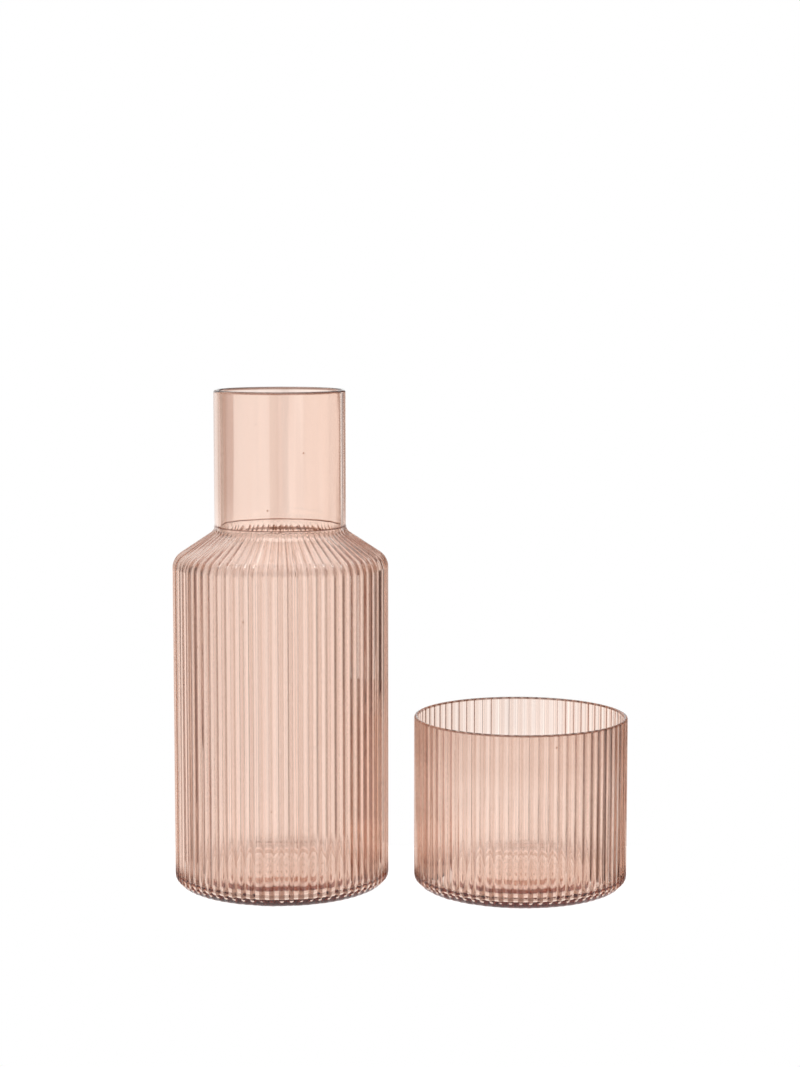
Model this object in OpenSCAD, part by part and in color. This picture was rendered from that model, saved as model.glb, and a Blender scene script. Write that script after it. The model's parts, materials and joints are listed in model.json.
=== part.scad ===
// Bedside carafe and tumbler, each one piece of reeded rose glass.
// The carafe is blown in a reeded mould: a straight body, a low conical shoulder over which the
// reeds run together, and a plain neck. The tumbler has the same reeds and nearly the same
// diameter, so that it turns over the neck as a lid. Both stand on the table, side by side.

/* [Reeds] */
// Number of reeds round each piece
reed_count = 70; // [40:2:90]
// How far a reed stands out above the grooves beside it, on the straight wall
reed_depth = 0.7; // [0.2:0.05:0.8]
// Share of the reeds' pitch that the flat groove between two reeds takes
groove_share = 0.38; // [0.2:0.02:0.5]
// Share of the reeds' pitch that a reed's flat back takes
back_share = 0.24; // [0.1:0.02:0.4]

/* [Carafe] */
// Overall height of the carafe
carafe_h = 199; // [170:1:240]
// Diameter of the carafe's body over the reeds
body_d = 86; // [78:1:100]
// Outside diameter of the plain neck
neck_d = 52.4; // [44:0.2:58]
// Height of the plain neck, from the shoulder to the rim
neck_h = 56; // [40:1:75]
// Rise of the conical shoulder, from the body to the neck
shoulder_h = 11; // [8:0.5:20]
// Radius of the bend between the body and the shoulder
shoulder_bend_r = 6.8; // [4:0.1:9]
// Radius of the hollow bend between the shoulder and the neck
neck_bend_r = 3.4; // [2:0.1:6]
// Small step round the neck at which the reeds end
collar = 0.15; // [0.1:0.05:0.5]
// Wall thickness of the carafe, under a reed's crest
carafe_wall = 2; // [1.6:0.1:3]

/* [Tumbler] */
// How far the tumbler's wall stands inside the body's, all round
tumbler_setback = 0.3; // [0.1:0.1:1.5]
// Wall thickness of the tumbler, under a reed's crest
tumbler_wall = 1.5; // [1.3:0.1:2.5]
// Gap left over the body when the upturned tumbler sits on the neck
lid_gap = 2.1; // [0.5:0.1:4]

/* [Bases] */
// Radius of the rounded edge round the foot of each piece
foot_edge_r = 4.8; // [3:0.1:7]
// Width of the flat ring that each piece stands on
foot_w = 3.8; // [2:0.1:8]
// Rise of the hollow under each base, at its middle
punt_rise = 0.5; // [0.3:0.1:4]
// Thickness of the floor at its edge
floor_t = 3; // [2.5:0.1:6]
// Rise of the floor's inner face from its edge to its middle
floor_rise = 1.8; // [0.5:0.1:3]
// Radius of the bend between the floor and the wall, inside
inner_bend_r = 4; // [2:0.1:7]

/* [Place] */
// Clear distance between the two pieces on the table
side_gap = 10.3; // [4:0.1:60]
// How far the tumbler stands forward of the carafe
tumbler_forward = 3.5; // [0:0.5:30]

/* [Hidden] */

glass = [0.91, 0.73, 0.66, 0.6];

// Where a reed's two flanks start and end across its pitch
reed_edges = [groove_share / 2, (1 - back_share) / 2, (1 + back_share) / 2, 1 - groove_share / 2];
reed_steps = len(reed_edges);
// Steps along the bends and curved floors
bend_steps = 4;
floor_steps = 6;
lip_steps = 3;
// Smoothness of the plain round solids
round_fn = 140;
// How far a cutter or a joined solid runs past the face that it meets
overrun = 1;
// The share of the wall that each side of a rim is rounded over
lip_share = 0.4;

body_r = body_d / 2;
neck_r = neck_d / 2;
neck_z = carafe_h - neck_h;
shoulder_z = neck_z - shoulder_h;
reeds_end_r = neck_r + collar;
// The angle through which the wall turns at the shoulder and turns back at the neck
bend_a = atan2(body_r - reeds_end_r, shoulder_h);
shoulder_bend_c = [body_r - shoulder_bend_r, shoulder_z - shoulder_bend_r * tan(bend_a / 2)];
neck_bend_c = [reeds_end_r + neck_bend_r, neck_z + neck_bend_r * tan(bend_a / 2)];

tumbler_r = body_r - tumbler_setback;
// The upturned tumbler's floor rests on the middle of the neck's rim
rim_r = neck_r - carafe_wall / 2;
tumbler_floor_r = tumbler_r - tumbler_wall - inner_bend_r;
tumbler_h = floor_t + floor_level(rim_r, tumbler_floor_r) + neck_h + shoulder_h - lid_gap;

// The set is centred on the origin, on the table
carafe_pos = [(body_r - tumbler_r) / 2 - (body_r + side_gap + tumbler_r) / 2,
              (tumbler_forward + tumbler_r - body_r) / 2, 0];
tumbler_pos = carafe_pos + [body_r + side_gap + tumbler_r, -tumbler_forward, 0];

// Points of an arc, from one angle to another
function arc(centre, r, from, to, steps) =
    [for (i = [0:steps]) let (a = from + (to - from) * i / steps) centre + r * [cos(a), sin(a)]];

// Height of the domed floor above its edge, at a distance from the middle
function floor_level(r, edge_r) = floor_rise * (1 - pow(r / edge_r, 2));

// A ring of reeded wall is [radius, height, share of the full reed]
function full_reeds(points) = [for (p = points) [p[0], p[1], 1]];

// Reeds that die away along a bend, from its first point to its last
function fading_reeds(points) =
    [for (i = [0:len(points) - 1]) [points[i][0], points[i][1], 1 - i / (len(points) - 1)]];

// Whether point i of a ring lies in a groove
function in_groove(i) = i % reed_steps == 0 || i % reed_steps == reed_steps - 1;

// Point i round a ring; a crest points along +X
function reed_point(ring, i) =
    let (place = floor(i / reed_steps) + reed_edges[i % reed_steps],
         a = 360 * (place - 1 / 2) / reed_count,
         depth = reed_depth * ring[0] / body_r * ring[2],
         r = ring[0] - (in_groove(i) ? depth : 0))
    [r * cos(a), r * sin(a), ring[1]];

// A solid of revolution whose outer wall is reeded, lofted through its rings and closed by a fan of
// triangles at each end
module reeded_solid(rings) {
    n = reed_count * reed_steps;
    top = len(rings) - 1;
    low_middle = len(rings) * n;
    high_middle = low_middle + 1;
    points = concat([for (ring = rings) for (i = [0:n - 1]) reed_point(ring, i)],
                    [[0, 0, rings[0][1]], [0, 0, rings[top][1]]]);
    walls = [for (k = [0:top - 1]) for (i = [0:n - 1])
        let (a = k * n + i, b = k * n + (i + 1) % n) each [[a, a + n, b + n], [a, b + n, b]]];
    ends = [for (i = [0:n - 1])
        let (j = (i + 1) % n) each [[low_middle, i, j], [high_middle, top * n + j, top * n + i]]];
    polyhedron(points, concat(walls, ends));
}

// Rings of the foot's rounded edge, shared by both pieces
function foot_rings(r) =
    full_reeds(arc([r - foot_edge_r, foot_edge_r], foot_edge_r, -90, 0, bend_steps));

// Outline of the hollow inside a piece, from the middle of its floor up to the start of its wall
function floor_outline(r) =
    let (edge_r = r - inner_bend_r)
    concat([for (i = [0:floor_steps - 1]) let (x = edge_r * i / floor_steps)
                [x, floor_t + floor_level(x, edge_r)]],
           arc([edge_r, floor_t + inner_bend_r], inner_bend_r, -90, 0, bend_steps));

// Outline of a rim's inner edge, rounded, and on past the top
function lip_outline(r, h, lip_r) =
    concat(arc([r + lip_r, h - lip_r], lip_r, 180, 90, lip_steps),
           [[r + lip_r, h + overrun], [0, h + overrun]]);

// The hollow that is pushed up into the underside of a base
module punt(r) {
    rotate_extrude($fn = round_fn)
        polygon(concat([[0, -overrun]],
                       [for (i = [0:floor_steps]) let (x = r * i / floor_steps)
                           [x, punt_rise * (1 - pow(x / r, 2))]],
                       [[r, -overrun]]));
}

module carafe_outside() {
    reeded_solid(concat(
        foot_rings(body_r),
        full_reeds(arc(shoulder_bend_c, shoulder_bend_r, 0, bend_a, bend_steps)),
        fading_reeds(arc(neck_bend_c, neck_bend_r, 180 + bend_a, 180, bend_steps))));
}

module neck_outside() {
    lip_r = carafe_wall * lip_share;
    rotate_extrude($fn = round_fn)
        polygon(concat([[0, neck_z], [neck_r, neck_z]],
                       arc([neck_r - lip_r, carafe_h - lip_r], lip_r, 0, 90, lip_steps),
                       [[0, carafe_h]]));
}

module carafe_inside() {
    rotate_extrude($fn = round_fn)
        polygon(concat(
            floor_outline(body_r - carafe_wall),
            arc(shoulder_bend_c, shoulder_bend_r - carafe_wall, 0, bend_a, bend_steps),
            arc(neck_bend_c, neck_bend_r + collar + carafe_wall, 180 + bend_a, 180, bend_steps),
            lip_outline(neck_r - carafe_wall, carafe_h, carafe_wall * lip_share)));
}

module carafe() {
    color(glass)
    translate(carafe_pos)
    difference() {
        union() {
            carafe_outside();
            neck_outside();
        }
        carafe_inside();
        punt(body_r - foot_edge_r - foot_w);
    }
}

module tumbler_outside() {
    lip_r = tumbler_wall * lip_share;
    reeded_solid(concat(
        foot_rings(tumbler_r),
        full_reeds(arc([tumbler_r - lip_r, tumbler_h - lip_r], lip_r, 0, 90, lip_steps))));
}

module tumbler_inside() {
    rotate_extrude($fn = round_fn)
        polygon(concat(
            floor_outline(tumbler_r - tumbler_wall),
            lip_outline(tumbler_r - tumbler_wall, tumbler_h, tumbler_wall * lip_share)));
}

module tumbler() {
    color(glass)
    translate(tumbler_pos)
    difference() {
        tumbler_outside();
        tumbler_inside();
        punt(tumbler_r - foot_edge_r - foot_w);
    }
}

carafe();
tumbler();
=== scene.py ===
import json
import math
from collections import namedtuple

import bpy
import numpy as np
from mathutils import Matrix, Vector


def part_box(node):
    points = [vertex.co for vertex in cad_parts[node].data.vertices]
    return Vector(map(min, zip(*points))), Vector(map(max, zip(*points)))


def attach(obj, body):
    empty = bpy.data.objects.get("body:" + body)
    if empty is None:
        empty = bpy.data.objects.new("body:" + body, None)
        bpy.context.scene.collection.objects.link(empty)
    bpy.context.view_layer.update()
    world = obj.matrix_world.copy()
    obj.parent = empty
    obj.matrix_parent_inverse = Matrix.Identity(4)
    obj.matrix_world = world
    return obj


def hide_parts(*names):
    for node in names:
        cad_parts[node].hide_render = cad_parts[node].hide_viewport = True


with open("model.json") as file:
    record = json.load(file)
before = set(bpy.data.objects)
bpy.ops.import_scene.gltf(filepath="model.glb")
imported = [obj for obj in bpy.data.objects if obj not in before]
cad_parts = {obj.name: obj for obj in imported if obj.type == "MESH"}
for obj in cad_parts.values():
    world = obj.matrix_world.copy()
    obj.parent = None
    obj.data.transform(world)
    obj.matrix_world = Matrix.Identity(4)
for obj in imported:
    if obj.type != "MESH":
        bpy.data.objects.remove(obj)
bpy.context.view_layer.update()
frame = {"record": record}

MM = 0.001

# Sizes that the frame gives
mounts = {m["name"]: m for m in frame["record"]["mounts"]}
carafe_low, carafe_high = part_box("carafe")
tumbler_low, tumbler_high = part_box("tumbler")

CARAFE_X, CARAFE_Y = mounts["neck_bore"]["pos_m"][:2]
CARAFE_H = carafe_high[2]
BODY_R = (carafe_high[0] - carafe_low[0]) / 2
NECK_R = mounts["neck_outside"]["dims"]["r_mm"] * MM
NECK_BORE_R = mounts["neck_bore"]["dims"]["r_mm"] * MM
CARAFE_WALL = NECK_R - NECK_BORE_R

TUMBLER_X = (tumbler_low[0] + tumbler_high[0]) / 2
TUMBLER_Y = (tumbler_low[1] + tumbler_high[1]) / 2
TUMBLER_H = tumbler_high[2]
TUMBLER_R = (tumbler_high[0] - tumbler_low[0]) / 2

# Sizes that part.scad sets inside those boxes
REEDS = 70
REED_DEPTH = 0.7 * MM
# The share of a reed's pitch that the flat groove takes
GROOVE_SHARE = 0.38
NECK_H = 56 * MM
SHOULDER_H = 11 * MM
SHOULDER_BEND_R = 6.8 * MM
NECK_BEND_R = 3.4 * MM
COLLAR = 0.15 * MM
TUMBLER_WALL = 1.5 * MM
FOOT_EDGE_R = 4.8 * MM
FOOT_W = 3.8 * MM
PUNT_RISE = 0.5 * MM
FLOOR_T = 3 * MM
FLOOR_RISE = 1.8 * MM
INNER_BEND_R = 4 * MM

# Where the points of a reed lie across it, closer together beside the groove
REED_SHARES = (0.0, 0.165, 0.205, 0.27, 0.37, 0.5, 0.63, 0.73, 0.795, 0.835)
# How square a reed's back is: 2 is a parabola, more is flatter with steeper sides
REED_POWER = 2.0
# How high the collar's edge is, where it steps in to the neck
COLLAR_EDGE = 0.1 * MM
# How close to a bend the straight wall's first ring lies
HOLD = 0.2 * MM
# Steps that each stretch of a profile is drawn in, from under the foot to the middle of the floor
PUNT_STEPS = 8
FOOT_STEPS = 24
BODY_STEPS = 24
TUMBLER_STEPS = 32
BEND_STEPS = 8
CONE_STEPS = 5
NECK_BEND_STEPS = 12
NECK_STEPS = 5
LIP_STEPS = 8
NECK_BORE_STEPS = 6
INNER_CONE_STEPS = 4
INNER_WALL_STEPS = 14
INNER_BEND_STEPS = 10
FLOOR_STEPS = 30

# How far the blown reeds depart from their mould, as shares of a reed's pitch and depth
PITCH_JITTER = 0.03
DEPTH_JITTER = 0.15
# How far the inner wall ripples, and the share of that in its bend to the floor
RIPPLE = 0.025 * MM
BEND_RIPPLE = 0.5
# The slow waves that make up the ripple: how many, how often they may go round, and how fast
# they may turn with height, in radians for each mm
WAVES = 8
WAVE_ROUND = 22
WAVE_TURN = 0.05
# The rings that the blowing leaves in the floor's inner face, and how deep they are
FLOOR_WAVES = 3
FLOOR_WAVE = 0.15 * MM
# The height at which the reeds start to end at the foot, the height over which they do, and the
# share of them that is left as beads
REED_END_Z = 3.4 * MM
REED_END_H = 1.2 * MM
FOOT_BEAD = 0.3
# The heights between which the tumbler's reeds grow softer, their share at its rim, and the steps
# of its lip over which they die away
SOFT_FROM = 10 * MM
SOFT_TO = 50 * MM
RIM_REED = 0.7
LIP_REED_STEPS = 5

# How far the glass's tint is darkened, as painted shade where said below: 0 is the wall's own
# tint, and 1 is that tint times the dark brown of the painted shade
# On a reed's crest: painted shade that darkens each reed's back into a stripe of shade
CREST_PAINTED_SHADE = 0.12
# Painted shade on a reed by height, for the shade under the base: none at the foot, which has
# its own, and most just over it
REED_PAINTED_SHADE = (
    (2.9 * MM, 0.0), (3.2 * MM, 0.95), (5.5 * MM, 0.9), (7.2 * MM, 0.55), (8.4 * MM, 0.2),
    (11 * MM, 0.16), (13 * MM, CREST_PAINTED_SHADE), (200 * MM, CREST_PAINTED_SHADE),
)
# How soon, from its groove, a reed has its full painted shade
REED_SQUARE = 2.5
# Painted shade on the lips, and on the collar under the neck, for the dark lines they show
LIP_PAINTED_SHADE = 0.45
COLLAR_PAINTED_SHADE = 0.95
# Painted shade all round the foot, for the dark band of shade along the base: how dark, up to
# these heights in a groove and on a reed, and how softly that ends
FOOT_PAINTED_SHADE = 0.42
FOOT_SHADE_Z_GROOVE = 3.2 * MM
FOOT_SHADE_Z_REED = 2.6 * MM
FOOT_SHADE_SOFT = 0.3 * MM
# At the tumbler's rim, a darker band, and the heights between which it darkens so
RIM_TINT = 0.09
ROSE_FROM = 46 * MM
ROSE_TO = 56 * MM

# Light taken up by the glass, for each metre of it, and the tint that each wall adds
ABSORB = (18.0, 40.0, 54.0)
CARAFE_TINT = (1.0, 0.917, 0.875)
TUMBLER_TINT = (1.0, 0.908, 0.86)
# The dark brown that the painted shade multiplies into the glass's tint, at its fullest
PAINTED_SHADE_TINT = (0.17, 0.085, 0.06)
GLASS_IOR = 1.5
# Slow upright streaks in the blown glass, how far they raise its face, and its few seeds, which
# fade out between their size and their edge
STREAK_SCALE = (260.0, 260.0, 14.0)
STREAK_DETAIL = 3.0
STREAK_TINT = (0.985, 0.95, 0.93)
BUMP = 0.02 * MM
SEED_SCALE = 70.0
SEED_SIZE = 0.022
SEED_EDGE = 1.6 * SEED_SIZE
SEED_TINT = (0.45, 0.25, 0.18)
# A Mix node's colour sockets, which share their names with its sockets of other kinds
MIX_FIRST, MIX_SECOND, MIX_RESULT = 6, 7, 2

# The studio's walls: how bright they are by azimuth, in degrees from +Y towards +X, in directions
# about level, a little down, and steeply down
LEVEL_WALLS = (
    (-180, 0.1), (-166, 0.1), (-164, 1.15), (-136, 1.15), (-106, 1.1), (-104, 1.0), (-78, 1.0),
    (-73, 0.05), (-46, 0.05), (-44, 0.85), (-31, 0.95), (-19, 1.05), (-16, 0.7), (-9.4, 0.76),
    (-8.4, 1.0), (-6, 1.08), (-3.7, 1.0), (-3.3, 0.93), (-2.3, 0.94), (-2, 1.05), (9, 1.25),
    (13, 0.45), (29, 0.1), (31, 1.05), (44, 1.05), (46, 0.25), (75, 0.3), (91, 0.1), (134, 0.15),
    (137, 1.0), (165, 1.0), (180, 0.8),
)
WALLS = (
    (-180, 0.05), (-166, 0.05), (-164, 1.4), (-136, 1.4), (-134, 1.1), (-106, 1.15), (-104, 0.9),
    (-76, 0.9), (-74, 0.25), (-61, 0.25), (-59, 0.1), (-46, 0.1), (-44, 1.4), (-31, 1.4),
    (-29, 1.12), (-1, 1.15), (1, 1.05), (7, 1.05), (9, 1.35), (14, 1.35), (16, 1.05), (29, 1.05),
    (31, 0.05), (59, 0.05), (61, 1.05), (74, 1.05), (76, 0.25), (119, 0.05), (121, 1.0),
    (149, 1.0), (151, 0.05), (180, 0.05),
)
LOW_WALLS = (
    (-180, 0.5), (-160, 0.1), (-100, 0.15), (-75, 1.0), (-15, 1.0), (10, 0.3), (60, 0.1),
    (100, 0.9), (170, 0.9), (180, 0.5),
)
TOP_LIGHT = 1.0
BOX_LIGHT = 2.5
# The height of a direction, as its Z, over which each of these gives way to what is above it:
# the low walls, the walls, the level walls, and the top to the light box in its middle
WALLS_Z = (-0.30, -0.26)
LEVEL_Z = (-0.125, -0.085)
TOP_Z = (0.5, 0.7)
BOX_Z = (0.82, 0.88)
# A gap between the panels is tinted this way, and is never darker than this colour
GAP_TINT = (1.0, 0.5, 0.32)
GAP_COLOUR = (0.04, 0.016, 0.01)

# Half width and half depth of the table top, its own grey, and how far it glows, so that it is
# as white as the ground behind it
TABLE_X = 0.105
TABLE_Y = 0.06
TABLE_GREY = 0.15
TABLE_GLOW = 1.0
TABLE_ROUGH = 0.9

# The photograph's camera, from a fit to the rims, the neck's ring and the outlines: its lens and
# sensor in mm, its place from the tumbler's axis, its height, and how many degrees it looks down
CAMERA_LENS = 78.19
CAMERA_SENSOR = 36
CAMERA_X = -48.34 * MM
CAMERA_Y = -915.0 * MM
CAMERA_Z = 239.3 * MM
CAMERA_DOWN = 6.07
# Light goes through many faces here
BOUNCES = 64

# A ring of a piece: its radius and height, its share of the full reed, the part of it that is cut
# off a reed's crest, its share of the ripple, and the painted shade in a groove and on a crest
Ring = namedtuple("Ring", "r z reed cut ripple groove crest", defaults=(0.0,) * 5)


def arc(centre, r, start, end, steps):
    """Points of an arc in the (radius, height) plane, angles in degrees."""
    angles = np.radians(np.linspace(start, end, steps + 1))
    return [(centre[0] + r * math.cos(a), centre[1] + r * math.sin(a)) for a in angles]


def line(start, end, steps):
    """Points from start to end, less both ends, with one close by each end, so that the wall's
    smooth normals are straight from there on."""
    start, way = np.array(start), np.array(end) - np.array(start)
    hold = HOLD / np.hypot(*way)
    shares = [hold] + [i / steps for i in range(1, steps)] + [1 - hold]
    return [tuple(start + way * share) for share in shares]


def outside(points):
    """Rings of reeded wall, with painted shade on the reeds, darkest just over the foot."""
    heights, painted_shades = zip(*REED_PAINTED_SHADE)
    return [Ring(r, z, reed=1.0, crest=float(np.interp(z, heights, painted_shades))) for r, z in points]


def smooth(points, painted_shade=0.0):
    """Rings of plain wall, with the given painted shade all round."""
    return [Ring(r, z, groove=painted_shade, crest=painted_shade) for r, z in points]


def inside(points, ripple=1.0):
    """Rings of inner wall, which ripples."""
    return [Ring(r, z, ripple=ripple) for r, z in points]


def under_lip(points):
    """Rings of inner wall below a lip, with no ripple where it meets the lip."""
    return smooth(points[:1]) + inside(points[1:])


def underside(r):
    """The hollow under a base, from its middle to the foot's flat ring."""
    hollow_r = r - FOOT_EDGE_R - FOOT_W
    shares = [i / PUNT_STEPS for i in range(1, PUNT_STEPS + 1)]
    hollow = [(hollow_r * share, PUNT_RISE * (1 - share ** 2)) for share in shares]
    # The foot's flat ring gets the foot's painted shade
    return smooth(hollow) + smooth([(hollow_r + FOOT_W / 2, 0.0)], FOOT_PAINTED_SHADE)


def foot_edge(r):
    """The rounded edge of the foot, on which the reeds end in round tips."""
    rings = []
    for ring in outside(arc((r - FOOT_EDGE_R, FOOT_EDGE_R), FOOT_EDGE_R, -90, 0, FOOT_STEPS)):
        gone = min(max((REED_END_Z - ring.z) / REED_END_H, 0.0), 1.0)
        # Painted shade round the foot, up to its heights in the groove and on the reed
        groove, crest = [float(np.interp(ring.z, (top - FOOT_SHADE_SOFT, top), (FOOT_PAINTED_SHADE, 0.0)))
                         for top in (FOOT_SHADE_Z_GROOVE, FOOT_SHADE_Z_REED)]
        rings.append(ring._replace(cut=gone ** 2, groove=groove, crest=max(crest, ring.crest)))
    return rings


def inside_floor(r):
    """The inner floor, from the end of the wall to the middle."""
    edge_r = r - INNER_BEND_R
    bend = arc((edge_r, FLOOR_T + INNER_BEND_R), INNER_BEND_R, 0, -90, INNER_BEND_STEPS)
    dome = []
    for i in range(FLOOR_STEPS - 1, 0, -1):
        share = i / FLOOR_STEPS
        wave = FLOOR_WAVE * (1 - math.cos(2 * math.pi * FLOOR_WAVES * share)) / 2
        dome.append((edge_r * share, FLOOR_T + FLOOR_RISE * (1 - share ** 2) - wave))
    return inside(bend, BEND_RIPPLE) + smooth(dome)


def carafe_profile():
    """The rings of the carafe's glass, from under its middle, up outside and down inside."""
    neck_z = CARAFE_H - NECK_H
    shoulder_z = neck_z - SHOULDER_H
    reeds_end_r = NECK_R + COLLAR
    bend = math.degrees(math.atan2(BODY_R - reeds_end_r, SHOULDER_H))
    reach = math.tan(math.radians(bend / 2))
    shoulder_c = (BODY_R - SHOULDER_BEND_R, shoulder_z - SHOULDER_BEND_R * reach)
    neck_c = (reeds_end_r + NECK_BEND_R, neck_z + NECK_BEND_R * reach)
    edge_z = neck_c[1] + COLLAR_EDGE
    lip_r = CARAFE_WALL / 2
    lip_c = (NECK_R - lip_r, CARAFE_H - lip_r)
    inner_r = BODY_R - CARAFE_WALL

    shoulder = arc(shoulder_c, SHOULDER_BEND_R, 0, bend, BEND_STEPS)
    neck_bend = arc(neck_c, NECK_BEND_R, 180 + bend, 180, NECK_BEND_STEPS)
    rings = underside(BODY_R) + foot_edge(BODY_R)
    rings += outside(line((BODY_R, FOOT_EDGE_R), shoulder[0], BODY_STEPS))
    rings += outside(shoulder)
    rings += outside(line(shoulder[-1], neck_bend[0], CONE_STEPS))
    for i, (r, z) in enumerate(neck_bend):
        gone = i / NECK_BEND_STEPS
        rings.append(Ring(r, z, reed=1 - gone, cut=gone ** 2, crest=CREST_PAINTED_SHADE * (1 - gone)))
    collar = [(reeds_end_r, neck_c[1]), (NECK_R, edge_z), (NECK_R, edge_z + HOLD)]
    # The collar's step has painted shade
    rings += smooth(collar, COLLAR_PAINTED_SHADE)
    rings += smooth(line(collar[-1], (NECK_R, lip_c[1]), NECK_STEPS))
    # The lip has painted shade
    rings += smooth(arc(lip_c, lip_r, 0, 180, LIP_STEPS), LIP_PAINTED_SHADE)

    neck_bend = arc(neck_c, NECK_BEND_R + COLLAR + CARAFE_WALL, 180, 180 + bend, BEND_STEPS)
    shoulder = arc(shoulder_c, SHOULDER_BEND_R - CARAFE_WALL, bend, 0, BEND_STEPS)
    rings += under_lip(line((NECK_BORE_R, lip_c[1]), neck_bend[0], NECK_BORE_STEPS))
    rings += inside(neck_bend)
    rings += inside(line(neck_bend[-1], shoulder[0], INNER_CONE_STEPS))
    rings += inside(shoulder)
    rings += inside(line(shoulder[-1], (inner_r, FLOOR_T + INNER_BEND_R), INNER_WALL_STEPS))
    return rings + inside_floor(inner_r)


def tumbler_profile():
    """The rings of the tumbler's glass, in the same order."""
    lip_r = TUMBLER_WALL / 2
    lip_c = (TUMBLER_R - lip_r, TUMBLER_H - lip_r)
    inner_r = TUMBLER_R - TUMBLER_WALL

    rings = underside(TUMBLER_R) + foot_edge(TUMBLER_R)
    for ring in outside(line((TUMBLER_R, FOOT_EDGE_R), (TUMBLER_R, lip_c[1]), TUMBLER_STEPS)):
        reed = float(np.interp(ring.z, (SOFT_FROM, SOFT_TO), (1, RIM_REED)))
        rose = float(np.interp(ring.z, (ROSE_FROM, ROSE_TO), (0, RIM_TINT)))
        rings.append(ring._replace(reed=reed, groove=rose, crest=ring.crest + rose))
    lip = arc(lip_c, lip_r, 0, 180, LIP_STEPS)
    # The lip has painted shade, and its reeds die away over its first steps
    for i, ring in enumerate(smooth(lip, LIP_PAINTED_SHADE)):
        rings.append(ring._replace(reed=RIM_REED * max(0.0, 1 - i / LIP_REED_STEPS)))

    rings += under_lip(line(lip[-1], (inner_r, FLOOR_T + INNER_BEND_R), INNER_WALL_STEPS))
    return rings + inside_floor(inner_r)


def lay_out_reeds(rng):
    """For each point round a ring: its angle, how high it stands on its reed, from 0 in the groove
    to 1 on the crest, and that reed's depth, as a share of the mould's."""
    shares = np.tile(REED_SHARES, REEDS)
    reed = np.repeat(np.arange(REEDS), len(REED_SHARES))
    start = np.arange(REEDS + 1) + np.append(rng.normal(0, PITCH_JITTER, REEDS), 0)
    start[-1] = start[0] + REEDS
    place = start[reed] + (start[reed + 1] - start[reed]) * shares
    angle = 2 * math.pi * (place - 0.5) / REEDS
    off = np.minimum(np.abs(2 * shares - 1) / (1 - GROOVE_SHARE), 1)
    most = 2 * DEPTH_JITTER
    deeper = 1 + np.clip(rng.normal(0, DEPTH_JITTER, REEDS), -most, most)
    return angle, 1 - off ** REED_POWER, deeper[reed]


def slow_waves(rng, angle, z):
    """A sum of slow waves round the wall and up it, about one unit high."""
    total = np.zeros(np.broadcast(angle, z).shape)
    for _ in range(WAVES):
        turns = rng.integers(1, WAVE_ROUND + 1)
        climb = rng.uniform(-WAVE_TURN, WAVE_TURN)
        phase = rng.uniform(0, 2 * math.pi)
        total += np.sin(turns * angle + climb * z / MM + phase)
    return total / math.sqrt(WAVES / 2)


def tube_faces(rows, count):
    """Faces between rows of points, and a fan round a middle point at each end. The two middle
    points come after the rows, the first row's first."""
    i = np.arange(count)
    j = (i + 1) % count
    last = (rows - 1) * count
    middle = np.full(count, rows * count)
    quads = [np.stack([k + i, k + j, k + count + j, k + count + i], axis=-1)
             for k in range(0, last, count)]
    low = np.stack([middle, j, i], axis=-1)
    high = np.stack([middle + 1, last + i, last + j], axis=-1)
    return np.concatenate(quads).tolist() + low.tolist() + high.tolist()


def add_object(name, data):
    thing = bpy.data.objects.new(name, data)
    bpy.context.scene.collection.objects.link(thing)
    return thing


def turned_glass(name, rings, centre, wall_r, seed):
    """One closed mesh, turned through its rings, with its two middles as points."""
    rng = np.random.default_rng(seed)
    angle, rise, deeper = lay_out_reeds(rng)
    r, z, reed, cut, ripple, groove, crest = np.array(rings).T[:, :, None]
    kept = FOOT_BEAD * rise + (1 - FOOT_BEAD) * np.maximum(rise - cut, 0)
    depth = REED_DEPTH * deeper * r / wall_r * reed
    r = r - depth * (1 - kept) + slow_waves(rng, angle, z) * RIPPLE * ripple
    x = centre[0] + r * np.cos(angle)
    y = centre[1] + r * np.sin(angle)
    points = np.stack([x, y, np.broadcast_to(z, r.shape)], axis=-1).reshape(-1, 3)
    middles = [(*centre, PUNT_RISE), (*centre, FLOOR_T + FLOOR_RISE)]
    # The painted shade at each point: the groove's, going over to the crest's up the reed's side
    painted_shade = groove + (crest - groove) * np.minimum(rise * REED_SQUARE, 1)

    mesh = bpy.data.meshes.new(name)
    mesh.from_pydata(np.concatenate([points, middles]).tolist(), [], tube_faces(*r.shape))
    mesh.polygons.foreach_set("use_smooth", [True] * len(mesh.polygons))
    painted_shades = mesh.attributes.new("painted_shade", "FLOAT", "POINT")
    painted_shades.data.foreach_set("value", np.append(painted_shade.ravel(), [0, 0]))
    mesh.validate()
    mesh.update()
    return add_object(name, mesh)


def solid(colour):
    return (*colour, 1)


def fill(tree, node, inputs):
    """Links or sets a node's inputs, each by its name or number."""
    for key, value in inputs.items():
        if isinstance(value, bpy.types.NodeSocket):
            tree.links.new(value, node.inputs[key])
        else:
            node.inputs[key].default_value = value


def add_node(tree, kind, inputs=None, **settings):
    node = tree.nodes.new(kind)
    for name, value in settings.items():
        setattr(node, name, value)
    fill(tree, node, inputs or {})
    return node


def mix(tree, share, first, second, blend="MIX"):
    """A colour mixed from two."""
    inputs = {"Factor": share, MIX_FIRST: first, MIX_SECOND: second}
    node = add_node(tree, "ShaderNodeMix", inputs, data_type="RGBA", blend_type=blend)
    return node.outputs[MIX_RESULT]


def map_range(tree, value, span, low, high, kind="LINEAR"):
    """A value that goes from low to high as another goes over its span."""
    inputs = {"Value": value, "From Min": span[0], "From Max": span[1],
              "To Min": low, "To Max": high}
    return add_node(tree, "ShaderNodeMapRange", inputs, interpolation_type=kind).outputs[0]


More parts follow.
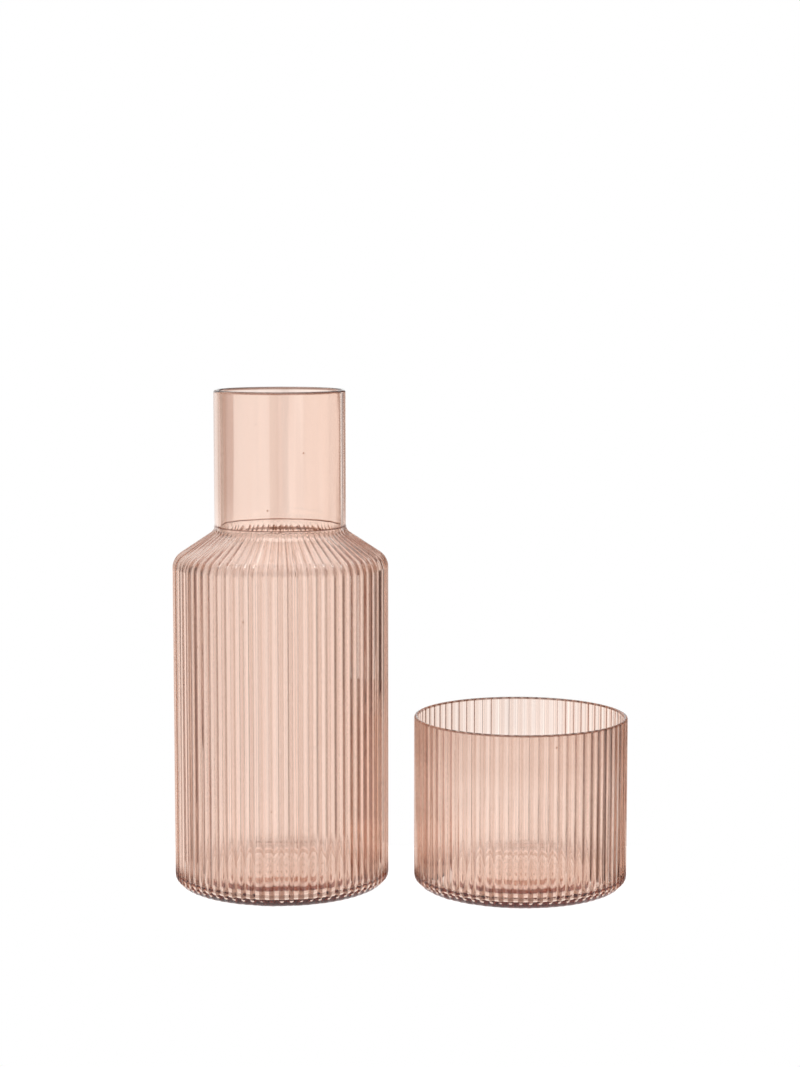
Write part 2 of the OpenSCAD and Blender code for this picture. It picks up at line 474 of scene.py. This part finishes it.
def rose_glass(name, tint):
    """Clear rose glass: each wall tints the light, darker where shade is painted into its colour,
    and the glass takes up more of it along its way."""
    material = bpy.data.materials.new(name)
    material.use_nodes = True
    tree = material.node_tree
    place = add_node(tree, "ShaderNodeTexCoord").outputs["Object"]

    stretched = add_node(tree, "ShaderNodeMapping", {"Vector": place, "Scale": STREAK_SCALE})
    noise = {"Vector": stretched.outputs["Vector"], "Scale": 1.0, "Detail": STREAK_DETAIL}
    streaks = add_node(tree, "ShaderNodeTexNoise", noise).outputs["Fac"]
    in_streaks = [c * s for c, s in zip(tint, STREAK_TINT)]
    colour = mix(tree, streaks, solid(tint), solid(in_streaks))

    cells = add_node(tree, "ShaderNodeTexVoronoi", {"Vector": place, "Scale": SEED_SCALE})
    seeds = map_range(tree, cells.outputs["Distance"], (SEED_SIZE, SEED_EDGE), 1, 0)
    colour = mix(tree, seeds, colour, solid(SEED_TINT))

    # Painted shade: the dark brown, to the power of each point's painted shade, multiplied in
    depth = add_node(tree, "ShaderNodeAttribute", attribute_name="painted_shade").outputs["Fac"]
    painted_shade = add_node(tree, "ShaderNodeGamma", {"Color": solid(PAINTED_SHADE_TINT), "Gamma": depth})
    colour = mix(tree, 1.0, colour, painted_shade.outputs["Color"], "MULTIPLY")

    bump = add_node(tree, "ShaderNodeBump",
                    {"Strength": 1.0, "Distance": BUMP, "Height": streaks})
    fill(tree, tree.nodes["Principled BSDF"], {
        "Base Color": colour, "Normal": bump.outputs["Normal"], "Roughness": 0.0,
        "IOR": GLASS_IOR, "Transmission Weight": 1.0})
    most = max(ABSORB)
    volume = add_node(tree, "ShaderNodeVolumeAbsorption",
                      {"Color": solid(1 - a / most for a in ABSORB), "Density": most})
    fill(tree, tree.nodes["Material Output"], {"Volume": volume.outputs["Volume"]})
    return material


def walls(tree, levels, place):
    """The colour of one band of walls, with its levels of light set round it."""
    ramp = add_node(tree, "ShaderNodeValToRGB", {"Fac": place})
    stops = ramp.color_ramp.elements
    for i, (azimuth, level) in enumerate(levels):
        at = (azimuth + 180) / 360
        # A new ramp comes with two stops
        stop = stops[i] if i < 2 else stops.new(at)
        stop.position = at
        lit = min(level, 1)
        stop.color = solid(level * (tint + (1 - tint) * lit) + gap * (1 - lit)
                           for tint, gap in zip(GAP_TINT, GAP_COLOUR))
    return ramp.outputs["Color"]


def add_world():
    """White panels of light all round, with dark warm gaps between them, and a light top. A camera
    ray sees plain white."""
    world = bpy.data.worlds.new("studio")
    bpy.context.scene.world = world
    world.use_nodes = True
    tree = world.node_tree
    way = add_node(tree, "ShaderNodeTexCoord").outputs["Generated"]
    x, y, z = add_node(tree, "ShaderNodeSeparateXYZ", {0: way}).outputs
    azimuth = add_node(tree, "ShaderNodeMath", {0: x, 1: y}, operation="ARCTAN2").outputs[0]
    place = map_range(tree, azimuth, (-math.pi, math.pi), 0, 1)

    colour = walls(tree, LOW_WALLS, place)
    for span, above in ((WALLS_Z, walls(tree, WALLS, place)),
                        (LEVEL_Z, walls(tree, LEVEL_WALLS, place)),
                        (TOP_Z, solid([TOP_LIGHT] * 3)),
                        (BOX_Z, solid([BOX_LIGHT] * 3))):
        colour = mix(tree, map_range(tree, z, span, 0, 1, "SMOOTHSTEP"), colour, above)
    camera_ray = add_node(tree, "ShaderNodeLightPath").outputs["Is Camera Ray"]
    colour = mix(tree, camera_ray, colour, solid([1] * 3))
    fill(tree, tree.nodes["Background"], {"Color": colour, "Strength": 1.0})


def add_floor():
    """A plain white table top, just larger than the set."""
    mesh = bpy.data.meshes.new("floor")
    corners = [(x * TABLE_X, y * TABLE_Y, 0) for x, y in ((-1, -1), (1, -1), (1, 1), (-1, 1))]
    mesh.from_pydata(corners, [], [(0, 1, 2, 3)])
    material = bpy.data.materials.new("floor")
    material.use_nodes = True
    fill(material.node_tree, material.node_tree.nodes["Principled BSDF"], {
        "Base Color": solid([TABLE_GREY] * 3), "Roughness": TABLE_ROUGH,
        "Specular IOR Level": 0.0, "Emission Color": solid([1] * 3),
        "Emission Strength": TABLE_GLOW})
    mesh.materials.append(material)
    floor = add_object("floor", mesh)


def add_camera():
    data = bpy.data.cameras.new("camera")
    data.lens = CAMERA_LENS
    data.sensor_width = CAMERA_SENSOR
    camera = add_object("camera", data)
    camera.location = (TUMBLER_X + CAMERA_X, TUMBLER_Y + CAMERA_Y, CAMERA_Z)
    camera.rotation_euler = (math.radians(90 - CAMERA_DOWN), 0, 0)
    bpy.context.scene.camera = camera


carafe = turned_glass("carafe_glass", carafe_profile(), (CARAFE_X, CARAFE_Y), BODY_R, seed=1)
tumbler = turned_glass("tumbler_glass", tumbler_profile(), (TUMBLER_X, TUMBLER_Y), TUMBLER_R,
                       seed=2)
carafe.data.materials.append(rose_glass("carafe_rose_glass", CARAFE_TINT))
tumbler.data.materials.append(rose_glass("tumbler_rose_glass", TUMBLER_TINT))
for piece, node in ((carafe, "carafe"), (tumbler, "tumbler")):
    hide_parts(node)
    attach(piece, node)

add_world()
add_floor()
add_camera()

scene = bpy.context.scene
scene.view_settings.view_transform = "Standard"
scene.cycles.max_bounces = BOUNCES
scene.cycles.transmission_bounces = BOUNCES
scene.cycles.glossy_bounces = BOUNCES
